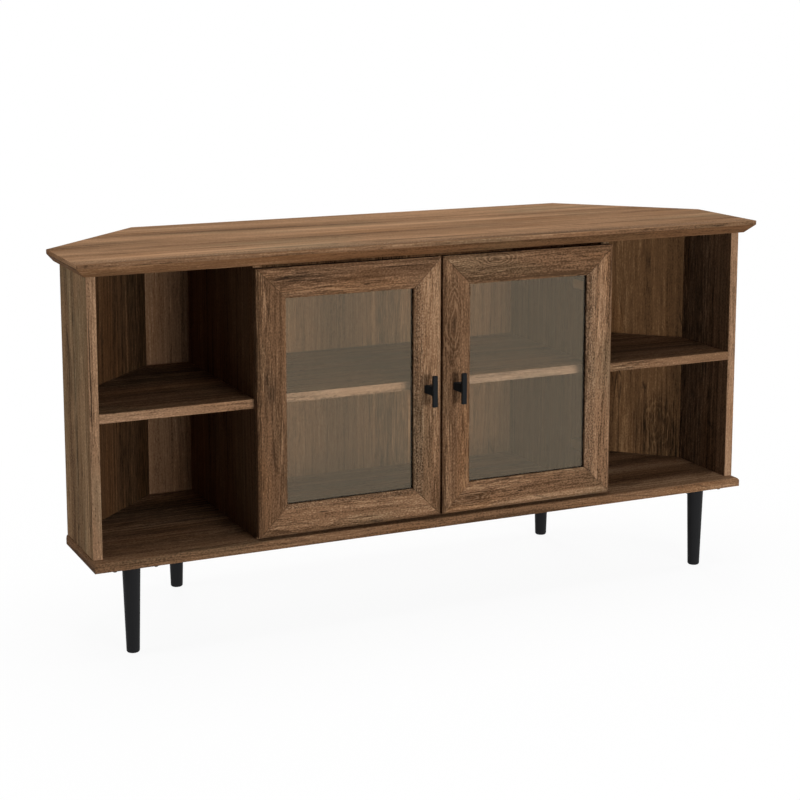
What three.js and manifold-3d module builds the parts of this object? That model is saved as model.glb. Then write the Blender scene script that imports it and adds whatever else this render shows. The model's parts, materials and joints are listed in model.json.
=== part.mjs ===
// Corner media cabinet: a long low carcass whose back corners are cut at 45 degrees, so that it
// fits across the corner of a room. Two framed glass doors on concealed hinges close the middle
// bay, an open shelved bay stands on each side of it, and four turned legs carry the base board.
// Millimetres, +Z up, front facing -Y. The origin is on the floor, in the middle of the cabinet.

import * as THREE from 'three';
import { mergeVertices } from 'three/addons/utils/BufferGeometryUtils.js';
import Module from 'manifold-3d';

const wasm = await Module();
wasm.setup();

// Driving dimensions of the carcass
const cabinetWidth = 1219;
const cabinetDepth = 377;
const sideDepth = 180;
const innerHeight = 443;
const boardThickness = 15;
const topThickness = 22;
const topEdgeHeight = 7;
const topSideOverhang = 20;
const topBackOverhang = 16;
const baseSideOverhang = 3;
const baseFrontSetback = 4;
const baseEdgeRadius = 5;
const sideBayWidth = 251.5;

// Driving dimensions of the shelves
const centreShelfSetback = 40;
const shelfSideGap = 1;
const pinRadius = 2.5;
const pinLength = 16;
const pinInset = 32;

// Driving dimensions of the doors
const doorSetback = 7;
const doorThickness = 15;
const doorRunningGap = 2;
const doorEndGap = 4.5;
const doorMeetingGap = 4;
const frameWidth = 49.5;
const outerBevel = 4.5;
const innerBevelWidth = 7;
const innerBevelDepth = 4;
const rebateWidth = 9;
const rebateDepth = 7;
const glassThickness = 3;
const retainerOverlap = 1;
const retainerRecess = 0.4;

// Driving dimensions of the pulls
const pullHeight = 52;
const pullBarWidth = 8.5;
const pullBarDepth = 6;
const pullProjection = 28;
const pullInset = 24.5;
const pullFootWidth = 15;
const pullFootHeight = 12.5;
const pullFootLength = 5;
const pullHeadHeight = 16;
const pullArris = 0.8;

// Driving dimensions of the concealed hinges
const hingeEndDistance = 75;
const cupRadius = 17.5;
const cupEdgeDistance = 4;
const cupFrontCover = 3.5;
const cupWall = 1.3;
const cupCornerRadius = 3;
const flangeThickness = 1.2;
const flangeLip = 2;
const earOffset = 9.5;
const earHalfLength = 30;
const earHalfWidth = 6;
const earScrewSpacing = 48;
const hingeScrewRadius = 2.2;
const armPivotStandoff = 15;
const armPivotReach = 1;
const cupPivotInset = 9.5;
const cupPivotDepth = 2.5;
const armPinRadius = 1.5;
const cupPinRadius = 1.2;
const leverThickness = 2.2;
const leverHeight = 11;
const leverRise = 4.5;
const armWall = 1.5;
const armSideClearance = 0.5;
const armNoseRadius = 3.6;
const armLength = 64;
const armThroat = 12;
const armFoot = 5;
const plateThickness = 2;
const plateWingHeight = 48;
const plateWingWidth = 22;
const plateScrewSpacing = 32;
const plateScrewDistance = 37;
const plateBlockLength = 38;

// Driving dimensions of the legs
const legLength = 144.5;
const legTopRadius = 14.5;
const legTipRadius = 10.5;
const legTipRound = 3;
const legFrontSideInset = 68;
const legFrontInset = 38;
const legBackInset = 43;
const studRadius = 4;
const studLength = 14;
const legPlateWidth = 82;
const legPlateDepth = 62;
const legPlateThickness = 2.5;
const legPlateCorner = 5;
const legPlateScrewWidth = 66;
const legPlateScrewDepth = 48;
const legPlateScrewRadius = 2.5;

// One clearance between pieces that seat on each other, and one overrun for every cut
const fitGap = 0.3;
const cutOverrun = 1;

// Numbers of flats on turned and rounded shapes
const turnedSides = 28;
const cupSides = 32;
const pinSides = 16;
const roundSteps = 3;
const bendSteps = 8;

// Levels and depths that follow from the sizes above. Depths are behind the top's front edge.
const baseBottom = legLength + legPlateThickness;
const baseTop = baseBottom + boardThickness;
const topBottom = baseTop + innerHeight;
const shelfLevel = baseTop + (innerHeight - boardThickness) / 2;
const pullReach = pullProjection - doorSetback;
const frontY = (pullReach - cabinetDepth) / 2;
const doorBackDepth = doorSetback + doorThickness;
const carcassFront = doorBackDepth + doorRunningGap;
const bodyBack = cabinetDepth - topBackOverhang;
const innerBack = bodyBack - boardThickness;
const bodyHalf = cabinetWidth / 2 - topSideOverhang;
const bodyInnerHalf = bodyHalf - boardThickness;
const dividerOuter = bodyInnerHalf - sideBayWidth;
const dividerInner = dividerOuter - boardThickness;
const innerInset = topBackOverhang + boardThickness;

// The cut corner is a line at 45 degrees, set in by some distance square to it. Along it, half
// width plus depth stays the same, so one of them gives the other.
function onCutCorner(widthOrDepth, inset) {
  return cabinetWidth / 2 + sideDepth - inset * Math.SQRT2 - widthOrDepth;
}

// Solids and booleans
function solidOf(geometry) {
  const bare = geometry.clone();
  bare.deleteAttribute('normal');
  bare.deleteAttribute('uv');
  const merged = mergeVertices(bare);
  return new wasm.Manifold(new wasm.Mesh({
    numProp: 3,
    vertProperties: merged.attributes.position.array,
    triVerts: new Uint32Array(merged.index.array),
  }));
}

function geometryOf(solid) {
  const { vertProperties, triVerts } = solid.getMesh();
  const geometry = new THREE.BufferGeometry();
  geometry.setAttribute('position', new THREE.BufferAttribute(vertProperties, 3));
  geometry.setIndex(new THREE.BufferAttribute(triVerts, 1));
  geometry.computeVertexNormals();
  return geometry;
}

function join(first, ...others) {
  return geometryOf(others.reduce((sum, other) => sum.add(solidOf(other)), solidOf(first)));
}

function cut(body, ...tools) {
  return geometryOf(tools.reduce((left, tool) => left.subtract(solidOf(tool)), solidOf(body)));
}

// Reverses every triangle, which puts a mirrored shape's faces the right way out again
function turnedInsideOut(geometry) {
  const flipped = geometry.index ? geometry : mergeVertices(geometry);
  const corners = flipped.index.array;
  for (let i = 0; i < corners.length; i += 3) {
    [corners[i], corners[i + 1]] = [corners[i + 1], corners[i]];
  }
  flipped.computeVertexNormals();
  return flipped;
}

function mirrored(geometry) {
  return turnedInsideOut(geometry.clone().scale(-1, 1, 1));
}

// A solid through a row of rings, each ring being the same outline put somewhere else. The
// outline is closed by flat caps at both ends.
function loft(outline, rings) {
  const corners = rings.flat();
  const count = outline.length;
  const index = [];
  for (let ring = 0; ring + 1 < rings.length; ring += 1) {
    for (let i = 0; i < count; i += 1) {
      const low = ring * count + i;
      const next = ring * count + (i + 1) % count;
      index.push(low, next, next + count, low, next + count, low + count);
    }
  }
  const last = (rings.length - 1) * count;
  const clockwise = THREE.ShapeUtils.isClockWise(outline);
  for (const [a, ...others] of THREE.ShapeUtils.triangulateShape(outline, [])) {
    const [b, c] = clockwise ? others.reverse() : others;
    index.push(b, a, c);
    index.push(last + a, last + b, last + c);
  }
  const geometry = new THREE.BufferGeometry().setFromPoints(corners);
  geometry.setIndex(index);
  return solidVolume(geometry) < 0 ? turnedInsideOut(geometry) : geometry;
}

function solidVolume(geometry) {
  const place = geometry.attributes.position;
  const corners = geometry.index.array;
  const [a, b, c] = [new THREE.Vector3(), new THREE.Vector3(), new THREE.Vector3()];
  let volume = 0;
  for (let i = 0; i < corners.length; i += 3) {
    a.fromBufferAttribute(place, corners[i]);
    b.fromBufferAttribute(place, corners[i + 1]);
    c.fromBufferAttribute(place, corners[i + 2]);
    volume += a.dot(b.cross(c));
  }
  return volume;
}

// A flat board cut to a plan outline of [half width, depth] corners, lying on level 0
function board(corners, thickness) {
  const outline = corners.map(([x, depth]) => new THREE.Vector2(x, frontY + depth));
  const ring = (z) => outline.map((p) => new THREE.Vector3(p.x, p.y, z));
  return loft(outline, [ring(0), ring(thickness)]);
}

function rod(radius, length, axis, sides = pinSides) {
  const geometry = new THREE.CylinderGeometry(radius, radius, length, sides);
  if (axis === 'x') geometry.rotateZ(Math.PI / 2);
  if (axis === 'z') geometry.rotateX(Math.PI / 2);
  return geometry;
}

function block(low, high) {
  const size = high.map((value, i) => value - low[i]);
  const middle = high.map((value, i) => (value + low[i]) / 2);
  return new THREE.BoxGeometry(...size).translate(...middle);
}

function roundedRectangle(halfWidth, halfHeight, radius) {
  const shape = new THREE.Shape();
  shape.absarc(halfWidth - radius, halfHeight - radius, radius, 0, Math.PI / 2);
  shape.absarc(radius - halfWidth, halfHeight - radius, radius, Math.PI / 2, Math.PI);
  shape.absarc(radius - halfWidth, radius - halfHeight, radius, Math.PI, 1.5 * Math.PI);
  shape.absarc(halfWidth - radius, radius - halfHeight, radius, 1.5 * Math.PI, 2 * Math.PI);
  return shape;
}

// A strip with two round ends
function roundEnded(halfWidth, halfLength) {
  const shape = new THREE.Shape();
  shape.absarc(0, halfLength - halfWidth, halfWidth, 0, Math.PI);
  shape.absarc(0, halfWidth - halfLength, halfWidth, Math.PI, 2 * Math.PI);
  return shape;
}

function plateOf(shape, thickness, steps = roundSteps) {
  return new THREE.ExtrudeGeometry(shape, { depth: thickness, bevelEnabled: false, curveSegments: steps });
}

// Finishes
const finishes = {
  topWood: [0x8a6343, 0.55, 0],
  wood: [0x745137, 0.6, 0],
  innerWood: [0x5d412d, 0.65, 0],
  glass: [0x8d867a, 0.12, 0],
  rubber: [0x1b1917, 0.7, 0],
  blackMetal: [0x141414, 0.45, 0.6],
  nickel: [0xb9b8b4, 0.3, 0.9],
  blackWood: [0x161616, 0.5, 0],
};

function piece(parent, name, geometry, finish) {
  const [color, roughness, metalness] = finishes[finish];
  const material = new THREE.MeshStandardMaterial({ color, roughness, metalness });
  if (finish === 'glass') {
    material.transparent = true;
    material.opacity = 0.4;
  }
  const mesh = new THREE.Mesh(geometry, material);
  mesh.name = name;
  parent.add(mesh);
  return mesh;
}

// Adds a piece of the left half to the left group, and its mirror image to the right group
function pair(groups, name, geometry, finish) {
  const left = piece(groups.left, `left_${name}`, geometry, finish);
  const right = piece(groups.right, `right_${name}`, mirrored(geometry), finish);
  return [left, right];
}

const cabinet = new THREE.Group();
const carcass = new THREE.Group();
cabinet.add(carcass);
const carcassPair = { left: carcass, right: carcass };

// Top and base boards. Both are hexagons in plan. The top's front and side edges are bevelled
// underneath, and the base's front and side edges are rounded over on top.
function hexagon(halfWidth, front, inset, back) {
  return [
    [-halfWidth, front],
    [halfWidth, front],
    [halfWidth, onCutCorner(halfWidth, inset)],
    [onCutCorner(back, inset), back],
    [-onCutCorner(back, inset), back],
    [-halfWidth, onCutCorner(halfWidth, inset)],
  ];
}

function shapedBoard(halfWidth, front, inset, back, layers) {
  const outlineAt = (trim) => hexagon(halfWidth - trim, front + trim, inset, back);
  const outline = outlineAt(0).map(([x, depth]) => new THREE.Vector2(x, depth));
  const rings = layers.map(({ trim, level }) => outlineAt(trim).map(
    ([x, depth]) => new THREE.Vector3(x, frontY + depth, level),
  ));
  return loft(outline, rings);
}

const topBevel = topThickness - topEdgeHeight;
const topPanel = shapedBoard(cabinetWidth / 2, 0, 0, cabinetDepth, [
  { trim: topBevel, level: 0 },
  { trim: 0, level: topBevel },
  { trim: 0, level: topThickness },
]);
piece(carcass, 'top_panel', topPanel, 'topWood').position.z = topBottom;

const baseHalf = bodyHalf + baseSideOverhang;
const baseLayers = [{ trim: 0, level: 0 }];
for (let step = 0; step <= roundSteps; step += 1) {
  const angle = (step / roundSteps) * (Math.PI / 2);
  baseLayers.push({
    trim: baseEdgeRadius * (1 - Math.cos(angle)),
    level: boardThickness - baseEdgeRadius * (1 - Math.sin(angle)),
  });
}
const plainBase = shapedBoard(baseHalf, baseFrontSetback, topBackOverhang, bodyBack, baseLayers);

// Where the four legs stand, as [x, y]
const legFrontPlace = [baseHalf - legFrontSideInset, frontY + baseFrontSetback + legFrontInset];
const legBackPlace = [
  onCutCorner(bodyBack, topBackOverhang) - legBackInset,
  frontY + bodyBack - legBackInset,
];
const legPlaces = {
  left_front: [-legFrontPlace[0], legFrontPlace[1]],
  right_front: legFrontPlace,
  left_back: [-legBackPlace[0], legBackPlace[1]],
  right_back: legBackPlace,
};

// The base is bored from below for the studs on the legs
const studBore = (studLength - legPlateThickness + cutOverrun) * 2;
const legBores = Object.values(legPlaces).map(
  ([x, y]) => rod(studRadius + fitGap, studBore, 'z').translate(x, y, 0),
);
piece(carcass, 'base_panel', cut(plainBase, ...legBores), 'wood').position.z = baseBottom;

// Upright boards between base and top. The side boards and the slanted back boards meet in
// mitres, and so do the slanted and the middle back boards.
const sideEnd = onCutCorner(bodyHalf, topBackOverhang);
const sideInnerEnd = onCutCorner(bodyInnerHalf, innerInset);
const backEnd = onCutCorner(bodyBack, topBackOverhang);
const backInnerEnd = onCutCorner(innerBack, innerInset);
const mitreRelief = fitGap * Math.SQRT1_2;

const sidePanel = board([
  [-bodyHalf, carcassFront],
  [-bodyInnerHalf, carcassFront],
  [-bodyInnerHalf, sideInnerEnd],
  [-bodyHalf, sideEnd],
], innerHeight);
for (const mesh of pair(carcassPair, 'side_panel', sidePanel, 'wood')) mesh.position.z = baseTop;

const slantedBack = board([
  [-(bodyHalf - mitreRelief), sideEnd + mitreRelief],
  [-(bodyInnerHalf - mitreRelief), sideInnerEnd + mitreRelief],
  [-(backInnerEnd + mitreRelief), innerBack - mitreRelief],
  [-(backEnd + mitreRelief), bodyBack - mitreRelief],
], innerHeight);
for (const mesh of pair(carcassPair, 'back_panel', slantedBack, 'innerWood')) mesh.position.z = baseTop;

const centreBack = board([
  [-backInnerEnd, innerBack],
  [backInnerEnd, innerBack],
  [backEnd, bodyBack],
  [-backEnd, bodyBack],
], innerHeight);
piece(carcass, 'centre_back_panel', centreBack, 'innerWood').position.z = baseTop;

// Dividers, bored on their inner faces for the pins that carry the middle shelf
const centreShelfBack = innerBack - shelfSideGap;
const pinDepths = [centreShelfSetback + pinInset, centreShelfBack - pinInset];
const pinDrop = fitGap + pinRadius;
const plainDivider = board([
  [-dividerOuter, carcassFront],
  [-dividerInner, carcassFront],
  [-dividerInner, innerBack],
  [-dividerOuter, innerBack],
], innerHeight);
const pinBores = pinDepths.map((depth) => rod(pinRadius + fitGap, pinLength + fitGap, 'x')
  .translate(-dividerInner, frontY + depth, shelfLevel - baseTop - pinDrop));
const divider = cut(plainDivider, ...pinBores);
for (const mesh of pair(carcassPair, 'divider', divider, 'wood')) mesh.position.z = baseTop;

pinDepths.forEach((depth, i) => {
  const name = ['front_shelf_pin', 'back_shelf_pin'][i];
  for (const mesh of pair(carcassPair, name, rod(pinRadius, pinLength, 'x'), 'nickel')) {
    const side = mesh.name.startsWith('left') ? -1 : 1;
    mesh.position.set(side * dividerInner, frontY + depth, shelfLevel - pinDrop);
  }
});

// Side shelves fill their bays up to the slanted backs. The middle shelf lies on its pins, set
// back behind the doors.
const sideShelfInset = innerInset + fitGap;
const sideShelfBack = innerBack - fitGap;
const sideShelf = board([
  [-bodyInnerHalf, carcassFront],
  [-dividerOuter, carcassFront],
  [-dividerOuter, sideShelfBack],
  [-onCutCorner(sideShelfBack, sideShelfInset), sideShelfBack],
  [-bodyInnerHalf, onCutCorner(bodyInnerHalf, sideShelfInset)],
], boardThickness);
for (const mesh of pair(carcassPair, 'shelf', sideShelf, 'wood')) mesh.position.z = shelfLevel;

const centreShelfHalf = dividerInner - shelfSideGap;
const centreShelf = board([
  [-centreShelfHalf, centreShelfSetback],
  [centreShelfHalf, centreShelfSetback],
  [centreShelfHalf, centreShelfBack],
  [-centreShelfHalf, centreShelfBack],
], boardThickness);
piece(carcass, 'centre_shelf', centreShelf, 'wood').position.z = shelfLevel;

// Legs: turned, tapered towards a rounded tip, with a stud on top that passes through a steel
// plate into the base board
const legProfile = [new THREE.Vector2(0, 0)];
for (let step = 0; step <= roundSteps; step += 1) {
  const angle = (step / roundSteps) * (Math.PI / 2);
  legProfile.push(new THREE.Vector2(
    legTipRadius - legTipRound * (1 - Math.sin(angle)),
    legTipRound * (1 - Math.cos(angle)),
  ));
}
legProfile.push(
  new THREE.Vector2(legTopRadius, legLength),
  new THREE.Vector2(studRadius, legLength),
  new THREE.Vector2(studRadius, legLength + studLength),
  new THREE.Vector2(0, legLength + studLength),
);

const legPlateShape = roundedRectangle(legPlateWidth / 2, legPlateDepth / 2, legPlateCorner);
const legPlateBores = [rod(studRadius + fitGap, legLength, 'z')];
for (const sideX of [-1, 1]) {
  for (const sideY of [-1, 1]) {
    legPlateBores.push(rod(legPlateScrewRadius, legLength, 'z').translate(
      sideX * (legPlateScrewWidth / 2),
      sideY * (legPlateScrewDepth / 2),
      0,
    ));
  }
}
const legPlate = cut(plateOf(legPlateShape, legPlateThickness), ...legPlateBores);

for (const [corner, [x, y]] of Object.entries(legPlaces)) {
  const leg = new THREE.LatheGeometry(legProfile, turnedSides).rotateX(Math.PI / 2);
  piece(carcass, `${corner}_leg`, leg, 'blackWood').position.set(x, y, 0);
  piece(carcass, `${corner}_leg_plate`, legPlate.clone(), 'blackMetal').position.set(x, y, legLength);
}

// Doors. Each hangs from its outer edge. A point of the left door is given by its inset from
// that edge, its rise off the door's back face towards the front, and its height.
const doorWidth = dividerOuter - doorMeetingGap / 2;
const doorHeight = innerHeight - 2 * doorEndGap;
const doors = { left: new THREE.Group(), right: new THREE.Group() };
doors.left.position.set(-dividerOuter, frontY + doorBackDepth, baseTop + doorEndGap);
doors.right.position.set(dividerOuter, frontY + doorBackDepth, baseTop + doorEndGap);
cabinet.add(doors.left, doors.right);

// Moulded section of the frame, from its outer edge inwards: a bevelled outer arris, a flat
// face, a sloping inner edge, the lip in front of the glass, and the rebate behind it
const frameSection = [
  [0, 0],
  [0, doorThickness - outerBevel],
  [outerBevel, doorThickness],
  [frameWidth - innerBevelWidth, doorThickness],
  [frameWidth, doorThickness - innerBevelDepth],
  [frameWidth, rebateDepth],
  [frameWidth - rebateWidth, rebateDepth],
  [frameWidth - rebateWidth, 0],
].map(([inward, rise]) => new THREE.Vector2(inward, rise));

// A frame member is its section run between two ends mitred at 45 degrees
function frameMember(length, placeOf) {
  const ends = [0, 1].map((end) => frameSection.map(({ x: inward, y: rise }) => {
    const reach = inward + mitreRelief;
    return placeOf(inward, rise, end ? length - reach : reach);
  }));
  return loft(frameSection, ends);
}

const hingeStilePlain = frameMember(doorHeight, (inward, rise, along) => (
  new THREE.Vector3(inward, -rise, along)
));
const meetingStile = frameMember(doorHeight, (inward, rise, along) => (
  new THREE.Vector3(doorWidth - inward, -rise, along)
));
const topRail = frameMember(doorWidth, (inward, rise, along) => (
  new THREE.Vector3(along, -rise, doorHeight - inward)
));
const bottomRail = frameMember(doorWidth, (inward, rise, along) => (
  new THREE.Vector3(along, -rise, inward)
));

// The hinge stile is bored from behind for the two hinge cups
const hingeHeights = { lower: hingeEndDistance, upper: doorHeight - hingeEndDistance };
const cupCentre = cupEdgeDistance + cupRadius;
const cupDepth = doorThickness - cupFrontCover;
const cupBores = Object.values(hingeHeights).map(
  (height) => rod(cupRadius + fitGap, 2 * (cupDepth + fitGap), 'y', cupSides)
    .translate(cupCentre, 0, height),
);
const hingeStile = cut(hingeStilePlain, ...cupBores);

pair(doors, 'door_hinge_stile', hingeStile, 'wood');
pair(doors, 'door_meeting_stile', meetingStile, 'wood');
pair(doors, 'door_top_rail', topRail, 'wood');
pair(doors, 'door_bottom_rail', bottomRail, 'wood');

// Glass pane in the rebate, and the rubber retainer that is pressed in behind it
const paneMargin = frameWidth - rebateWidth + fitGap;
const paneFront = rebateDepth - fitGap;
const paneBack = paneFront - glassThickness;
const pane = block(
  [paneMargin, -paneFront, paneMargin],
  [doorWidth - paneMargin, -paneBack, doorHeight - paneMargin],
);
pair(doors, 'door_glass', pane, 'glass');

const retainerInner = frameWidth + retainerOverlap;
const retainerFront = paneBack - fitGap;
const retainer = cut(
  block(
    [paneMargin, -retainerFront, paneMargin],
    [doorWidth - paneMargin, -retainerRecess, doorHeight - paneMargin],
  ),
  block(
    [retainerInner, -doorThickness, retainerInner],
    [doorWidth - retainerInner, cutOverrun, doorHeight - retainerInner],
  ),
);
pair(doors, 'door_glass_retainer', retainer, 'rubber');

// Pull: an upright bar with eased arrises on a post, cast in one piece. The post is broad where
// it sits on the door. It narrows to the bar's width, and flares a little up and down the bar.
function easedSection(width, height, arris) {
  const [halfWidth, halfHeight] = [width / 2, height / 2];
  return [
    [arris - halfWidth, -halfHeight],
    [halfWidth - arris, -halfHeight],
    [halfWidth, arris - halfHeight],
    [halfWidth, halfHeight - arris],
    [halfWidth - arris, halfHeight],
    [arris - halfWidth, halfHeight],
    [-halfWidth, halfHeight - arris],
    [-halfWidth, arris - halfHeight],
  ].map(([x, y]) => new THREE.Vector2(x, y));
}

const pullBarBack = pullProjection - pullBarDepth;
const pullBarMiddle = pullProjection - pullBarDepth / 2;
const pullNeckWidth = pullBarWidth - 2 * pullArris;
const postSections = [
  { width: pullFootWidth, height: pullFootHeight, reach: 0 },
  { width: pullFootWidth, height: pullFootHeight, reach: pullFootLength },
  { width: pullNeckWidth, height: pullHeadHeight, reach: pullBarBack },
  { width: pullNeckWidth, height: pullHeadHeight, reach: pullBarMiddle },
];
const pullPost = loft(
  easedSection(pullFootWidth, pullFootHeight, pullArris),
  postSections.map(({ width, height, reach }) => easedSection(width, height, pullArris).map(
    (p) => new THREE.Vector3(p.x, -reach, p.y),
  )),
);
const pullBar = loft(
  easedSection(pullBarWidth, pullBarDepth, pullArris),
  [
    { trim: pullArris, level: 0 },
    { trim: 0, level: pullArris },
    { trim: 0, level: pullHeight - pullArris },
    { trim: pullArris, level: pullHeight },
  ].map(({ trim, level }) => easedSection(
    pullBarWidth - 2 * trim,
    pullBarDepth - 2 * trim,
    pullArris,
  ).map((p) => new THREE.Vector3(p.x, p.y - pullBarMiddle, level - pullHeight / 2))),
);
const pull = join(pullBar, pullPost).translate(doorWidth - pullInset, -doorThickness, doorHeight / 2);
pair(doors, 'door_pull', pull, 'blackMetal');

// Concealed hinges. Each is drawn at height 0 from the door's outer edge: x is the inset from
// that edge and y is positive into the cabinet. A lever on the arm's pin reaches round the edge
// of the door to a pin across the cup, and folds away into the cup when the door is shut.
const armPivot = { x: boardThickness + armPivotStandoff, y: -armPivotReach };
const cupPivot = { x: cupPivotInset, y: -cupPivotDepth };
const armHalfHeight = leverHeight / 2 + armSideClearance + armWall;
const armInnerHalf = armHalfHeight - armWall;

// The cup is turned from the solid: its outside with the round flange, less its hollow
const cupOutside = [
  [0, -cupDepth],
  [cupRadius - cupCornerRadius, -cupDepth],
  [cupRadius, cupCornerRadius - cupDepth],
  [cupRadius, 0],
  [cupRadius + flangeLip, 0],
  [cupRadius + flangeLip, flangeThickness],
  [0, flangeThickness],
];
const cupFloor = cupWall - cupDepth;
const cupHollow = [
  [0, cupFloor],
  [cupRadius - cupCornerRadius, cupFloor],
  [cupRadius - cupWall, cupFloor + cupCornerRadius],
  [cupRadius - cupWall, flangeThickness + cutOverrun],
  [0, flangeThickness + cutOverrun],
];
const turned = (profile) => new THREE.LatheGeometry(
  profile.map(([radius, level]) => new THREE.Vector2(radius, level)),
  cupSides,
).translate(cupCentre, 0, 0);
const ears = plateOf(roundEnded(earHalfWidth, earHalfLength), flangeThickness, bendSteps)
  .rotateX(-Math.PI / 2)
  .translate(cupCentre + earOffset, 0, 0);
const earHoles = [-1, 1].map((side) => rod(hingeScrewRadius, 2 * cupDepth, 'y')
  .translate(cupCentre + earOffset, 0, side * (earScrewSpacing / 2)));
const cupShell = cut(join(turned(cupOutside), ears), turned(cupHollow), ...earHoles);

// The pin's ends are let into the cup's wall
const pinOffset = cupCentre - cupPivot.x + cupPinRadius / 2;
const cupPinHalf = Math.sqrt((cupRadius - cupWall / 2) ** 2 - pinOffset ** 2);
const cupPin = rod(cupPinRadius, 2 * cupPinHalf, 'z').translate(cupPivot.x, cupPivot.y, 0);
const hingeCup = join(cupShell, cupPin);

// Lever: a bowed strip between two eyes
function bowedStrip(from, to, rise, thickness) {
  const span = Math.hypot(to.x - from.x, to.y - from.y);
  const radius = (span * span / 4 + rise * rise) / (2 * rise);
  const halfTurn = Math.asin(span / 2 / radius);
  const along = { x: (to.x - from.x) / span, y: (to.y - from.y) / span };
  const up = { x: along.y, y: -along.x };
  const pointAt = (angle, reach) => {
    const sideways = span / 2 + reach * Math.sin(angle);
    const upwards = reach * Math.cos(angle) - (radius - rise);
    return new THREE.Vector2(
      from.x + along.x * sideways + up.x * upwards,
      from.y + along.y * sideways + up.y * upwards,
    );
  };
  const angles = Array.from({ length: bendSteps + 1 }, (_, i) => halfTurn * (2 * i / bendSteps - 1));
  const outer = angles.map((angle) => pointAt(angle, radius + thickness / 2));
  const inner = angles.map((angle) => pointAt(angle, radius - thickness / 2));
  return new THREE.Shape([...outer, ...inner.reverse()]);
}

const cupEyeRadius = cupPinRadius + fitGap + leverThickness / 2;
const armEyeRadius = armPinRadius + fitGap + leverThickness / 2;
const leverStrip = plateOf(bowedStrip(cupPivot, armPivot, leverRise, leverThickness), leverHeight)
  .translate(0, 0, -leverHeight / 2);
const hingeLever = cut(
  join(
    leverStrip,
    rod(cupEyeRadius, leverHeight, 'z').translate(cupPivot.x, cupPivot.y, 0),
    rod(armEyeRadius, leverHeight, 'z').translate(armPivot.x, armPivot.y, 0),
  ),
  rod(cupPinRadius + fitGap, 2 * leverHeight, 'z').translate(cupPivot.x, cupPivot.y, 0),
  rod(armPinRadius + fitGap, 2 * leverHeight, 'z').translate(armPivot.x, armPivot.y, 0),
);

// Arm: a channel whose cheeks carry the lever's pin at the front, open towards the plate
const armHigh = armPivot.x + armNoseRadius;
const armLow = boardThickness + armFoot;
const armEnd = armPivot.y + armLength;
const throatEnd = armPivot.y + armThroat;
const cheekShape = new THREE.Shape();
cheekShape.moveTo(armHigh, armEnd);
cheekShape.lineTo(armLow, armEnd);
cheekShape.lineTo(armLow, throatEnd + armNoseRadius);
cheekShape.lineTo(armPivot.x - armNoseRadius, throatEnd - armNoseRadius);
cheekShape.absarc(armPivot.x, armPivot.y, armNoseRadius, Math.PI, 2 * Math.PI);
const channel = plateOf(cheekShape, 2 * armHalfHeight, bendSteps).translate(0, 0, -armHalfHeight);
const armHollow = block(
  [armLow - cutOverrun, armPivot.y - armNoseRadius - cutOverrun, -armInnerHalf],
  [armHigh - armWall, armEnd + cutOverrun, armInnerHalf],
);
const armMouth = block(
  [armLow - cutOverrun, armPivot.y - armNoseRadius - cutOverrun, -armInnerHalf],
  [armHigh + cutOverrun, armPivot.y + 2 * armNoseRadius, armInnerHalf],
);
const armPin = rod(armPinRadius, 2 * armHalfHeight - armWall, 'z').translate(armPivot.x, armPivot.y, 0);
const hingeArm = join(cut(channel, armHollow, armMouth), armPin);

// Mounting plate on the divider: two screw wings, and a block that the arm sits over
const plateFace = boardThickness + plateThickness;
const plateCentre = doorRunningGap + plateScrewDistance;
const wing = plateOf(roundEnded(plateWingWidth / 2, plateWingHeight / 2), plateThickness, bendSteps)
  .rotateY(Math.PI / 2)
  .rotateX(Math.PI / 2)
  .translate(boardThickness, plateCentre, 0);
const wingHoles = [-1, 1].map((side) => rod(hingeScrewRadius, 2 * plateFace, 'x')
  .translate(plateFace, plateCentre, side * (plateScrewSpacing / 2)));
const saddle = block(
  [boardThickness, plateCentre - plateBlockLength / 2, fitGap - armInnerHalf],
  [armHigh - armWall - fitGap, plateCentre + plateBlockLength / 2, armInnerHalf - fitGap],
);
const hingePlate = join(cut(wing, ...wingHoles), saddle);

for (const [level, height] of Object.entries(hingeHeights)) {
  const hinges = { left: new THREE.Group(), right: new THREE.Group() };
  hinges.left.position.z = height;
  hinges.right.position.z = height;
  doors.left.add(hinges.left);
  doors.right.add(hinges.right);
  pair(hinges, `${level}_hinge_cup`, hingeCup.clone(), 'nickel');
  pair(hinges, `${level}_hinge_lever`, hingeLever.clone(), 'nickel');
  pair(hinges, `${level}_hinge_arm`, hingeArm.clone(), 'nickel');
  pair(hinges, `${level}_hinge_plate`, hingePlate.clone(), 'nickel');
}

export default cabinet;
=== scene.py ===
"""A corner television cabinet with two glass doors, two open bays and four tapered legs.

Every size is in metres.
"""
import itertools
import json
import math

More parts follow.
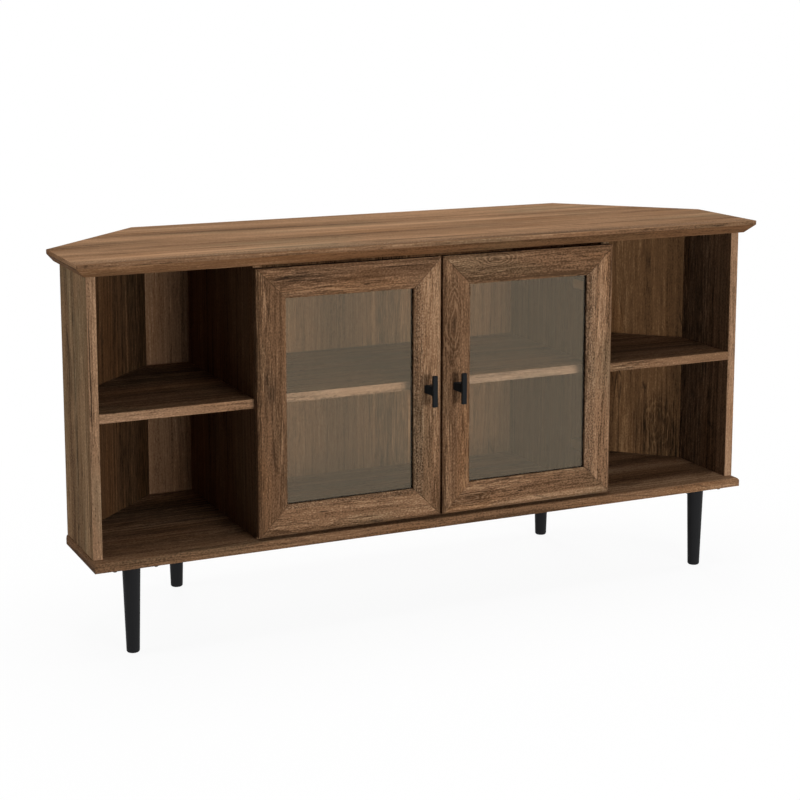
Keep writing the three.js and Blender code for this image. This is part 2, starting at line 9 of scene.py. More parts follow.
import bmesh
import bpy
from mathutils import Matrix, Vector

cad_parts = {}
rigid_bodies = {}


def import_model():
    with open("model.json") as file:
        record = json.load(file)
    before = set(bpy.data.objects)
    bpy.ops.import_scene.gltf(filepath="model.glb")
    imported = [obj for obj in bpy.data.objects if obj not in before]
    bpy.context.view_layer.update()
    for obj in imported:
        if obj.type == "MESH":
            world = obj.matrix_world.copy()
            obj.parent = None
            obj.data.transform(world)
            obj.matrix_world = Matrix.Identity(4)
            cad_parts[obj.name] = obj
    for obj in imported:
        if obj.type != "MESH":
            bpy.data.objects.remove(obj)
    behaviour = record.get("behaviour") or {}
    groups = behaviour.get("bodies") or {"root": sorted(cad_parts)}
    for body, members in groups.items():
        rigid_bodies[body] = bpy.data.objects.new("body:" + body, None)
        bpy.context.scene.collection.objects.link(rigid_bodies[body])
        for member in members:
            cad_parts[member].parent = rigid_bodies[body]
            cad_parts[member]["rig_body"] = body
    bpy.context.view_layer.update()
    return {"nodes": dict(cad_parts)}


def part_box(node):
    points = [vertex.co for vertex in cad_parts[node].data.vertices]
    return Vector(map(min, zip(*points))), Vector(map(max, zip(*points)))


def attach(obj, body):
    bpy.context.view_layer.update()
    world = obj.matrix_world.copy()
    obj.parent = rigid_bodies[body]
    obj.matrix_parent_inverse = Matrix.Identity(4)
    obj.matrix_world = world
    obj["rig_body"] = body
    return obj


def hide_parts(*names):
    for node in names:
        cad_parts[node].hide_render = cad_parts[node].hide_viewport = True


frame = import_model()
solids = frame["nodes"]


# ---------------------------------------------------------------------------------------------
# The base board. It is particle board 15 mm thick in a printed rustic oak laminate, cut to the
# cabinet's six-sided plan, with a softened upper edge. Everything else stands on it or hangs
# under it. Its print runs along the cabinet, and the strips on its edges run along each edge.

def feed(tree, socket, value):
    """A plain value, or another node's output, goes into a socket. None leaves it as it is."""
    if isinstance(value, bpy.types.NodeSocket):
        tree.links.new(value, socket)
    elif value is not None:
        socket.default_value = value


def add(tree, kind, settings=None, **inputs):
    """One node: its settings, then what feeds its inputs, by their names."""
    made = tree.nodes.new(kind)
    for name, value in (settings or {}).items():
        setattr(made, name, value)
    for name, value in inputs.items():
        feed(tree, made.inputs[name.replace("_", " ")], value)
    return made


def work(tree, operation, *values, clamp=False):
    """The result of one sum on numbers."""
    made = add(tree, "ShaderNodeMath", {"operation": operation, "use_clamp": clamp})
    for socket, value in zip(made.inputs, values):
        feed(tree, socket, value)
    return made.outputs[0]


def portion(tree, value, part, plus=0.0):
    """A part of one number, added to another."""
    return work(tree, "MULTIPLY_ADD", value, part, plus)


def swing(tree, cloud, reach, plus=0.0, middle=0.5):
    """Cloudy noise about its middle, as wide as the reach, added to a number."""
    return portion(tree, work(tree, "SUBTRACT", cloud, middle), reach, plus)


def ramp(tree, value, low, high, bottom=0.0, top=1.0):
    """A smooth step of a number, from bottom at low to top at high."""
    made = add(tree, "ShaderNodeMapRange", {"interpolation_type": "SMOOTHSTEP"}, Value=value,
               From_Min=low, From_Max=high, To_Min=bottom, To_Max=top)
    return made.outputs["Result"]


def place_work(tree, operation, *values):
    """The result of one sum on places. A length or a product of two comes out as a number."""
    made = add(tree, "ShaderNodeVectorMath", {"operation": operation})
    for socket, value in zip(made.inputs, values):
        feed(tree, socket, value)
    return made.outputs["Value" if operation in ("LENGTH", "DOT_PRODUCT") else "Vector"]


def split_axes(tree, place):
    """The three numbers of a place."""
    return add(tree, "ShaderNodeSeparateXYZ", Vector=place).outputs


def join_axes(tree, x=None, y=None, z=None):
    """A place from its three numbers, each 0 where none is given."""
    return add(tree, "ShaderNodeCombineXYZ", X=x, Y=y, Z=z).outputs[0]


def mix(tree, amount, first, second, way="MIX", kind="RGBA"):
    """The first colour turned to the second by an amount. The kind VECTOR does it to places."""
    made = add(tree, "ShaderNodeMix", {"data_type": kind, "blend_type": way})
    ends = [socket for socket in made.inputs if socket.type == kind][-2:]
    feed(tree, made.inputs[0], amount)
    feed(tree, ends[0], first)
    feed(tree, ends[1], second)
    return [socket for socket in made.outputs if socket.type == kind][0]


def noise(tree, place, clouds, detail=2.0, rough=0.5, bend=0.0):
    """Cloudy noise: so many clouds a metre along, across and through the wood."""
    return add(tree, "ShaderNodeTexNoise", Vector=place_work(tree, "MULTIPLY", place, clouds),
               Scale=1.0, Detail=detail, Roughness=rough, Distortion=bend).outputs[0]


def new_group(name, takes, gives):
    """An empty shader group with its named inputs and outputs, and the nodes of both."""
    group = bpy.data.node_groups.new(name, "ShaderNodeTree")
    for label, kind, value in takes:
        socket = group.interface.new_socket(label, in_out="INPUT", socket_type="NodeSocket" + kind)
        socket.default_value = value
    for label, kind in gives:
        group.interface.new_socket(label, in_out="OUTPUT", socket_type="NodeSocket" + kind)
    return group, group.nodes.new("NodeGroupInput"), group.nodes.new("NodeGroupOutput")


def rgb(red, green, blue):
    """A colour as a paint chart gives it, 0 to 255, turned to light by the usual screen curve."""
    parts = []
    for part in (red, green, blue):
        part /= 255
        parts.append(part / 12.92 if part <= 0.04045 else ((part + 0.055) / 1.055) ** 2.4)
    return (*parts, 1.0)


def make_oak_print():
    """The laminate's print: weathered, wire-brushed oak, with one dark patch that some boards use
    for painted shade. Its first axis runs along the grain.
    """
    nowhere = 50.0
    group, given, result = new_group(
        "rustic oak print",
        [("Place", "Vector", (0, 0, 0)), ("Pale", "Color", rgb(158, 126, 97)),
         ("Middle", "Color", rgb(119, 89, 65)), ("Dark", "Color", rgb(77, 56, 39)),
         ("Bands", "Float", 1.0), ("Rugged", "Float", 0.6), ("Weathered", "Float", 0.6),
         ("Figure", "Float", 0.5),
         ("Knot", "Vector", (nowhere, 0, 0)), ("Knot size", "Float", 0.009),
         ("Patch", "Vector", (nowhere, 0, 0)), ("Patch size", "Vector", (0.035, 0.012, 0.1)),
         ("Crack", "Vector", (nowhere, 0, 0)), ("Crack length", "Float", 0.05),
         ("Saw line", "Float", nowhere), ("Saw width", "Float", 0.006)],
        [("Colour", "Color"), ("Roughness", "Float"), ("Height", "Float")])
    asked = given.outputs
    place = asked["Place"]

    def times(first, second):
        return work(group, "MULTIPLY", first, second)

    def ink(colour, mask, tint, strength, way="MIX"):
        """One more ink over the colour, where its mask is."""
        return mix(group, times(mask, strength), colour, tint, way)

    # The fibres wander a little from side to side on their way along the board.
    wander = noise(group, place, clouds=(2.2, 6, 6), detail=1.0)
    wander = swing(group, wander, reach=0.024)
    bent = place_work(group, "ADD", place, join_axes(group, y=wander, z=wander))

    # Grain at four scales, and the zones that the brush has roughened.
    bands = noise(group, bent, clouds=(1.1, 24, 24), detail=3.0, rough=0.55)
    streaks = noise(group, bent, clouds=(3.2, 170, 170), detail=3.0, rough=0.65)
    fibres = noise(group, bent, clouds=(34, 620, 620), rough=0.6)
    grit = noise(group, place, clouds=(260, 480, 480), detail=1.0)
    rough_zone = noise(group, bent, clouds=(5, 24, 24), rough=0.6)
    rough_zone = ramp(group, rough_zone, low=0.4, high=0.66)

    # One knot: how far it is, counted in its own size and drawn out along the grain, the ground
    # round it, its eye and its rings.
    drawn_out = (0.3, 1, 0.2)
    ring_count = 4.6
    half_ring = 0.5
    knot_way = place_work(group, "SUBTRACT", place, asked["Knot"])
    knot_far = place_work(group, "LENGTH", place_work(group, "MULTIPLY", knot_way, drawn_out))
    knot_far = work(group, "DIVIDE", knot_far, asked["Knot size"])
    knot_far = swing(group, noise(group, place, clouds=(22, 75, 75)), reach=0.9, plus=knot_far)
    near_knot = ramp(group, knot_far, low=1.2, high=0.75)
    knot_eye = portion(group, grit, part=0.12, plus=knot_far)
    knot_eye = ramp(group, knot_eye, low=0.3, high=0.15)
    knot_rings = work(group, "PINGPONG", times(knot_far, ring_count), half_ring)
    knot_rings = times(ramp(group, knot_rings, low=0.2, high=0.45), near_knot)
    knot_rings = times(knot_rings, ramp(group, streaks, low=0.42, high=0.58, bottom=0.35))

    # The figure: thin growth rings, broken by the fibres and left out round the knot.
    rings_a_metre, rings_sway = 90.0, 9.0
    rings = times(noise(group, bent, clouds=(1.8, 10, 10), detail=1.0, rough=0.4), rings_sway)
    rings = portion(group, split_axes(group, bent)[1], rings_a_metre, plus=rings)
    rings = ramp(group, work(group, "PINGPONG", rings, half_ring), low=0.36, high=0.5)
    rings = times(rings, ramp(group, fibres, low=0.36, high=0.6, bottom=1.0, top=0.3))
    figure = times(asked["Figure"], work(group, "SUBTRACT", 1.0, near_knot))
    figure = times(rings, figure)

    # The tone, about 0, picks one of three colours of wood.
    grittiness = portion(group, asked["Rugged"], part=0.4, plus=0.4)
    coarseness = work(group, "ADD", times(asked["Rugged"], rough_zone), 0.4)
    tone = swing(group, bands, reach=asked["Bands"])
    tone = swing(group, streaks, reach=0.65, plus=tone)
    tone = swing(group, grit, reach=grittiness, plus=tone)
    tone = swing(group, fibres, reach=coarseness, plus=tone, middle=0.52)
    tone = portion(group, figure, part=-0.1, plus=tone)
    colour = mix(group, ramp(group, tone, low=0.0, high=0.3), asked["Middle"], asked["Pale"])
    colour = mix(group, ramp(group, tone, low=0.0, high=-0.27), colour, asked["Dark"])
    colour = ink(colour, figure, rgb(62, 44, 31), strength=0.45)

    # Slow changes of hue: greyer here, yellower there.
    greyer, yellower = (0.8, 0.95, 1.0, 1.0), (1.0, 0.9, 0.78, 1.0)
    hue = noise(group, place, clouds=(3.5, 14, 14))
    grey_zone = ramp(group, hue, low=0.52, high=0.72)
    yellow_zone = ramp(group, hue, low=0.46, high=0.3)
    colour = ink(colour, grey_zone, greyer, strength=0.6, way="MULTIPLY")
    colour = ink(colour, yellow_zone, yellower, strength=0.6, way="MULTIPLY")

    # Dark weathering in clouds, and one dark patch with ragged ends, which is weathering on some
    # boards and painted shade on others.
    weather_and_shade_tint = (0.19, 0.24, 0.3, 1.0)
    stain_and_shade = noise(group, bent, clouds=(5.5, 26, 26), detail=4.0, rough=0.62, bend=0.5)
    stain_and_shade = times(ramp(group, stain_and_shade, low=0.55, high=0.75), asked["Weathered"])
    patch_far = place_work(group, "SUBTRACT", place, asked["Patch"])
    patch_far = place_work(group, "DIVIDE", patch_far, asked["Patch size"])
    patch_far = swing(group, streaks, reach=2.6, plus=place_work(group, "LENGTH", patch_far))
    stain_and_shade = work(group, "MAXIMUM", stain_and_shade, ramp(group, patch_far, low=1.15, high=0.35))
    stain_and_shade = times(stain_and_shade, ramp(group, fibres, low=0.36, high=0.62, bottom=1.0, top=0.3))
    colour = ink(colour, stain_and_shade, weather_and_shade_tint, strength=0.85, way="MULTIPLY")

    # Open pores, most of them where the brush has roughened the wood.
    pores = noise(group, bent, clouds=(40, 560, 560), rough=0.6)
    pores = ramp(group, pores, low=0.56, high=0.64)
    open_grain = portion(group, rough_zone, part=0.75, plus=0.25)
    open_grain = times(open_grain, portion(group, asked["Rugged"], part=0.6, plus=0.4))
    pores = times(pores, open_grain)
    colour = ink(colour, pores, rgb(52, 38, 27), strength=0.75)

    # Hair splits between the fibres, and one longer crack.
    cells, crack_width = (4.5, 55, 55), 0.0014
    splits = place_work(group, "MULTIPLY", bent, cells)
    splits = add(group, "ShaderNodeTexVoronoi", {"feature": "DISTANCE_TO_EDGE"}, Vector=splits,
                 Scale=1.0).outputs[0]
    splits = ramp(group, splits, low=0.035, high=0.0)
    split_zone = noise(group, place, clouds=(7, 30, 30), detail=1.0)
    splits = times(splits, ramp(group, split_zone, low=0.56, high=0.66))
    splits = times(splits, asked["Weathered"])
    crack_way = split_axes(group, place_work(group, "SUBTRACT", place, asked["Crack"]))
    crack_run = work(group, "DIVIDE", crack_way[0], asked["Crack length"])
    crack_run = work(group, "POWER", work(group, "ABSOLUTE", crack_run), 2.0)
    crack_off = swing(group, streaks, reach=0.006, plus=crack_way[1])
    crack_off = work(group, "ABSOLUTE", work(group, "DIVIDE", crack_off, crack_width))
    crack_far = work(group, "ADD", crack_run, crack_off)
    splits = work(group, "MAXIMUM", splits, ramp(group, crack_far, low=1.0, high=0.45))
    colour = ink(colour, splits, rgb(34, 25, 18), strength=0.85)

    # Saw marks: short scratches, dark and pale, in one band along the board.
    saw_off = work(group, "SUBTRACT", split_axes(group, place)[1], asked["Saw line"])
    saw_off = work(group, "DIVIDE", work(group, "ABSOLUTE", saw_off), asked["Saw width"])
    saw_zone = ramp(group, saw_off, low=1.0, high=0.5)
    saw_zone = times(saw_zone, ramp(group, streaks, low=0.36, high=0.5, bottom=0.35))
    scratches = noise(group, place, clouds=(330, 520, 520), rough=0.7)
    saw_dark = times(ramp(group, scratches, low=0.5, high=0.6), saw_zone)
    saw_pale = times(ramp(group, scratches, low=0.48, high=0.4), saw_zone)
    colour = ink(colour, saw_dark, rgb(62, 47, 35), strength=0.7)
    colour = ink(colour, saw_pale, rgb(164, 138, 112), strength=0.45)

    # The knot's colours. Its rings fade under the weathering and the painted shade.
    knot_ground = (0.45, 0.42, 0.4, 1.0)
    knot_rings = times(knot_rings, ramp(group, stain_and_shade, low=0.0, high=1.0, bottom=1.0, top=0.3))
    colour = ink(colour, near_knot, knot_ground, strength=0.55, way="MULTIPLY")
    colour = ink(colour, knot_rings, asked["Pale"], strength=0.5)
    colour = ink(colour, knot_eye, rgb(56, 40, 28), strength=0.8)

    # The fibres stand up, and the pores, rings, splits and scratches are pressed in. The
    # weathering, the painted shade and the fibres are a little duller than the rest.
    height = 0.0
    for layer, rise in ((pores, -0.5), (fibres, 0.5), (figure, -0.25), (splits, -1.0),
                        (saw_dark, -0.8), (knot_eye, -0.4)):
        height = portion(group, layer, rise, plus=height)
    roughness = 0.68
    for layer, dulling in ((stain_and_shade, 0.1), (fibres, 0.15)):
        roughness = portion(group, layer, dulling, plus=roughness)
    feed(group, result.inputs["Colour"], colour)
    feed(group, result.inputs["Roughness"], roughness)
    feed(group, result.inputs["Height"], height)
    return group


oak_print = make_oak_print()


def make_grain_on_edges():
    """For a flat board: grain along X on its faces, and along each edge on the strips round it."""
    strip_place = 7.0    # far from the faces' own place in the print
    flat_enough = 0.85
    group, given, result = new_group(
        "print follows the edges",
        [("Place", "Vector", (0, 0, 0)), ("Facing", "Vector", (0, 0, 1))], [("Place", "Vector")])
    place = given.outputs["Place"]
    facing = split_axes(group, given.outputs["Facing"])
    along = join_axes(group, x=work(group, "MULTIPLY", facing[1], -1.0), y=facing[0])
    run = place_work(group, "DOT_PRODUCT", place, place_work(group, "NORMALIZE", along))
    strip = join_axes(group, x=run, y=split_axes(group, place)[2], z=strip_place)
    upright = work(group, "LESS_THAN", work(group, "ABSOLUTE", facing[2]), flat_enough)
    feed(group, result.inputs["Place"], mix(group, upright, place, strip, kind="VECTOR"))
    return group


grain_on_edges = make_grain_on_edges()

# Which of a board's axes run along, across and through the wood, for each way the grain lies.
grain_axes = {"X": (0, 1, 2), "X upright": (0, 2, 1), "Z": (2, 0, 1), "Z sideways": (2, 1, 0)}
step_between_cuts = (3.7, 1.3, 2.1)
cuts = itertools.count(1)
print_depth = 0.0004
print_relief = 0.9
laminate_gloss = 0.015


def oak(name, grain, edges=False, cut=None, **wishes):
    """The laminate on one board, cut from its own place in the print, with its grain as asked.

    The wishes are the print's own inputs. Knot, Patch, Crack and Saw line are given where they
    lie on the board, along, across and through the wood.
    """
    cut = next(cuts) if cut is None else cut
    cut_place = tuple(step * cut for step in step_between_cuts)
    for mark in ("Knot", "Patch", "Crack"):
        if mark in wishes:
            wishes[mark] = tuple(map(sum, zip(wishes[mark], cut_place)))
    if "Saw_line" in wishes:
        wishes["Saw_line"] += cut_place[1]

    material = bpy.data.materials.new(name)
    material.use_nodes = True
    tree = material.node_tree
    shader = tree.nodes["Principled BSDF"]
    coordinates = tree.nodes.new("ShaderNodeTexCoord").outputs
    place = coordinates["Object"]
    if edges:
        place = add(tree, "ShaderNodeGroup", {"node_tree": grain_on_edges}, Place=place,
                    Facing=coordinates["Normal"]).outputs["Place"]
    axes = split_axes(tree, place)
    along, across, through = grain_axes[grain]
    place = join_axes(tree, axes[along], axes[across], axes[through])
    place = place_work(tree, "ADD", place, cut_place)
    wood = add(tree, "ShaderNodeGroup", {"node_tree": oak_print}, Place=place, **wishes).outputs
    bump = add(tree, "ShaderNodeBump", Height=wood["Height"], Distance=print_depth,
               Strength=print_relief)
    feed(tree, shader.inputs["Base Color"], wood["Colour"])
    feed(tree, shader.inputs["Roughness"], wood["Roughness"])
    feed(tree, shader.inputs["Normal"], bump.outputs[0])
    shader.inputs["Specular IOR Level"].default_value = laminate_gloss
    return material


def eased(name, arris, material):
    """The piece as it is sold: the solid's triangles joined to faces, and sharp edges eased."""
    same_point, same_plane, sharp_corner = 1e-6, math.radians(0.5), math.radians(28)
    mesh = solids[name].data.copy()
    shape = bmesh.new()
    shape.from_mesh(mesh)
    bmesh.ops.remove_doubles(shape, verts=shape.verts, dist=same_point)
    bmesh.ops.dissolve_limit(shape, angle_limit=same_plane, verts=shape.verts, edges=shape.edges)
    sharp = [edge for edge in shape.edges
             if len(edge.link_faces) == 2 and edge.calc_face_angle_signed() > sharp_corner]
    bmesh.ops.bevel(shape, geom=sharp, offset=arris, segments=2, profile=0.5, affect="EDGES",
                    clamp_overlap=True)
    shape.to_mesh(mesh)
    shape.free()
    mesh.materials.clear()
    mesh.materials.append(material)
    piece = bpy.data.objects.new(name + "_finished", mesh)
    bpy.context.scene.collection.objects.link(piece)
    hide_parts(name)
    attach(piece, solids[name]["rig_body"])
    return piece


board_arris = 0.0006
# The patch is painted shade at the back of the left bay's floor.
eased("base_panel", board_arris,
      oak("oak on the base with painted shade", "X", edges=True, Patch=(-0.45, 0.05, 0.162),
          Patch_size=(0.17, 0.11, 0.01)))


# ---------------------------------------------------------------------------------------------
# The upright boards: two short sides and two dividers, of the same laminated board, with their
# grain standing. Cam fittings, out of sight, draw them to the base and the top. The sides' front
# edges carry strips of their own. Each divider has painted shade at the top of its front edge,
# where the gap above the doors looks in, and the right side has painted shade over the front of
# its inside face.

def finish_faces(board, material, chosen):
    """Another finish on the faces of a board that pass a test."""
    board.data.materials.append(material)
    for face in board.data.polygons:
        if chosen(face):
            face.material_index = len(board.data.materials) - 1


def faces_front(face):
    return face.normal.y < -0.5


# The dividers' print, with the size of their patch of painted shade.
divider_print_and_shade = dict(Rugged=0.2, Bands=0.6, Weathered=0.2, Patch_size=(0.012, 0.01, 0.02))
upright_print_and_shade = {
    "left_side_panel": dict(Weathered=1.0, Pale=rgb(164, 134, 102), Middle=rgb(126, 98, 71),
                            Patch=(0.36, -0.075, -0.59), Patch_size=(0.4, 0.01, 0.1),
                            Crack=(0.4, -0.135, -0.59), Crack_length=0.15),
    # Painted shade over the front of the right side's inside face.
    "right_side_panel": dict(Patch=(0.38, -0.04, 0.5745), Patch_size=(0.7, 0.09, 0.008)),
    # Painted shade at the top of each divider's front edge, seen through the gap above the doors.
    "left_divider": dict(Patch=(0.612, -0.154, -0.3155), **divider_print_and_shade),
    "right_divider": dict(Patch=(0.612, -0.154, 0.3155), **divider_print_and_shade),
}
side_edge_print = {
    "left_side_panel": dict(cut=44, Weathered=0.6, Pale=rgb(168, 134, 104),
                            Middle=rgb(133, 103, 78), Dark=rgb(86, 64, 47),
                            Crack=(0.45, -0.586, -0.154), Crack_length=0.13),
    "right_side_panel": dict(cut=41, Weathered=0.2, Pale=rgb(178, 143, 113),
                             Middle=rgb(146, 114, 88), Dark=rgb(100, 75, 54)),
}
for name, wishes in upright_print_and_shade.items():
    words = name.replace("_", " ")
    board = eased(name, board_arris, oak("oak on the " + words, "Z sideways", **wishes))
    if name in side_edge_print:
        strip = oak("oak on the edge of the " + words, "Z", **side_edge_print[name])
        finish_faces(board, strip, faces_front)


# ---------------------------------------------------------------------------------------------
# The backs: three boards that follow the walls of the corner, mitred where they meet, with their
# grain standing. Inside they carry the same print as the rest, with painted shade and light: the
# two slanted boards are printed darker, and the left one has a large dark patch, for the shade
# deep in the bays; the middle board has a painted shadow down its middle and is printed a touch
# paler, painted light. Outside they carry a plainer print.

back_print_and_shade = {
    # Darker colours and a large patch: painted shade in the left bay.
    "left_back_panel": dict(Bands=0.2, Pale=rgb(96, 70, 47), Middle=rgb(71, 49, 31),
                            Dark=rgb(40, 27, 15), Patch=(0.38, -0.405, 0.13),
                            Patch_size=(0.9, 0.1, 0.5)),
    # A touch paler, painted light, with a patch that is a painted shadow down the middle.
    "centre_back_panel": dict(Bands=0.3, Pale=rgb(160, 127, 98), Middle=rgb(123, 93, 69),
                              Dark=rgb(80, 59, 42), Patch=(0.38, 0.06, 0.168),
                              Patch_size=(0.8, 0.045, 0.2)),
    # Darker colours: painted shade in the right bay. The knot and the patch round it are print.
    "right_back_panel": dict(Bands=0.5, Weathered=1.0, Pale=rgb(130, 99, 69),
                             Middle=rgb(93, 67, 44), Dark=rgb(54, 38, 24),
                             Knot=(0.2134, 0.5433, -0.0053), Knot_size=0.021,
                             Patch=(0.205, 0.5433, -0.0053), Patch_size=(0.09, 0.045, 0.1)),
}
plain_back = oak("plain oak print outside", "Z", cut=40, Rugged=0.0, Bands=0.4, Weathered=0.0,
                 Figure=0.2, Pale=rgb(142, 111, 83), Middle=rgb(110, 82, 58), Dark=rgb(78, 57, 40))


def outside_of_back(face):
    least_area = 0.01
    return face.normal.y > 0.5 and face.area > least_area


for name, wishes in back_print_and_shade.items():
    finish = oak("oak on the " + name.replace("_", " "), "Z", Rugged=0.0, **wishes)
    board = eased(name, board_arris, finish)
    finish_faces(board, plain_back, outside_of_back)


# ---------------------------------------------------------------------------------------------
# The shelves. Those of the open bays are fixed; the middle one lies on four pins behind the doors.
# The front edges of the left and the middle one carry a paler strip of the same print. The left
# shelf has painted shade at the back of its upper face.

shelf_print_and_shade = {
    # Painted shade at the back of the left shelf, under the top.
    "left_shelf": dict(Patch=(-0.46, 0.09, 0.391), Patch_size=(0.14, 0.08, 0.01)),
    "centre_shelf": {},
    "right_shelf": {},
}
shelf_edge_print = {
    "left_shelf": dict(cut=45, Pale=rgb(174, 140, 110), Middle=rgb(137, 106, 81),
                       Dark=rgb(93, 70, 51)),
    "centre_shelf": dict(Pale=rgb(178, 154, 138), Middle=rgb(148, 126, 111),
                         Dark=rgb(105, 86, 73)),
}
for name, wishes in shelf_print_and_shade.items():
    words = name.replace("_", " ")
    shelf = eased(name, board_arris, oak("oak on the " + words, "X", edges=True, **wishes))
    if name in shelf_edge_print:
        strip = oak("oak on the edge of the " + words, "X upright", Weathered=0.2,
                    **shelf_edge_print[name])
        finish_faces(shelf, strip, faces_front)


# ---------------------------------------------------------------------------------------------
# The top: one board 22 mm thick, bevelled under its front and side edges, and printed a little
# paler than the rest: painted light, for the light that falls on it from above. Its two back
# corners are cut off along the walls.

def under_the_edge(face):
    return -0.95 < face.normal.z < -0.2 and len(face.vertices) == 4


def squarely_front(face):
    return face.normal.y < -0.95


# The top's paler colours are painted light.
top = eased("top_panel", board_arris,
            oak("oak on the top", "X", edges=True, Bands=1.35, Rugged=0.05, Weathered=0.35,
                Pale=rgb(163, 127, 96), Middle=rgb(129, 98, 72), Dark=rgb(88, 65, 46),
                Patch=(-0.12, -0.135, 0.627), Patch_size=(0.3, 0.01, 0.1),
                Saw_line=-0.158, Saw_width=0.015))
finish_faces(top, oak("oak under the top's edge", "X", edges=True, Rugged=0.0, Weathered=0.2,
                      Pale=rgb(158, 119, 86), Middle=rgb(119, 85, 58), Dark=rgb(82, 56, 37)),
             under_the_edge)
finish_faces(top, oak("oak on the top's front edge", "X upright", cut=43, Rugged=0.2),
             squarely_front)


# ---------------------------------------------------------------------------------------------
# The four pins of the middle shelf: turned steel, nickel plated, pushed into the dividers, two
# on each side. The shelf lies loose on them.

def metal(name, colour, metallic, rough, gloss, grains=900.0, grain_depth=0.00003):
    """A coated or plated finish: fine grain in the coat and a slow change of gloss over it."""
    slow_clouds = 22
    paler, darker, unevenness = 1.15, 0.85, 0.06
    material = bpy.data.materials.new(name)
    material.use_nodes = True
    tree = material.node_tree
    shader = tree.nodes["Principled BSDF"]
    place = tree.nodes.new("ShaderNodeTexCoord").outputs["Object"]
    fine = noise(tree, place, (grains,) * 3, rough=0.6)
    slow = noise(tree, place, (slow_clouds,) * 3)
    tint = mix(tree, slow, tuple(part * darker for part in colour[:3]) + (1.0,),
               tuple(min(1, part * paler) for part in colour[:3]) + (1.0,))
    dullness = ramp(tree, slow, 0.3, 0.7, rough - unevenness, rough + unevenness)
    bump = add(tree, "ShaderNodeBump", Height=fine, Distance=grain_depth, Strength=1.0)
    feed(tree, shader.inputs["Base Color"], tint)
    feed(tree, shader.inputs["Roughness"], dullness)
    feed(tree, shader.inputs["Normal"], bump.outputs[0])
    shader.inputs["Metallic"].default_value = metallic
    shader.inputs["Specular IOR Level"].default_value = gloss
    return material


def refinished(name, material):
    """A solid that keeps its shape and gets its finish."""
    solid = solids[name]
    solid.data.materials.clear()
    solid.data.materials.append(material)


nickel = metal("nickel plate", rgb(178, 173, 165), metallic=1.0, rough=0.34, gloss=0.5,
               grains=1500.0, grain_depth=0.00001)
for side in ("left", "right"):
    for end in ("front", "back"):
        refinished(f"{side}_{end}_shelf_pin", nickel)


# ---------------------------------------------------------------------------------------------
# The legs: turned from beech, tapered to a small foot, sprayed matt black. A steel stud in each
# screws into a pressed plate under the base, which four pan-head screws hold.

leg_paint = metal("black leg paint", rgb(31, 31, 32), metallic=0.0, rough=0.55, gloss=0.08,
                  grains=420.0, grain_depth=0.00005)
plate_coat = metal("black plate coat", rgb(28, 28, 29), metallic=0.0, rough=0.5, gloss=0.2)

for side in ("left", "right"):
    for end in ("front", "back"):
        refinished(f"{side}_{end}_leg", leg_paint)
        refinished(f"{side}_{end}_leg_plate", plate_coat)


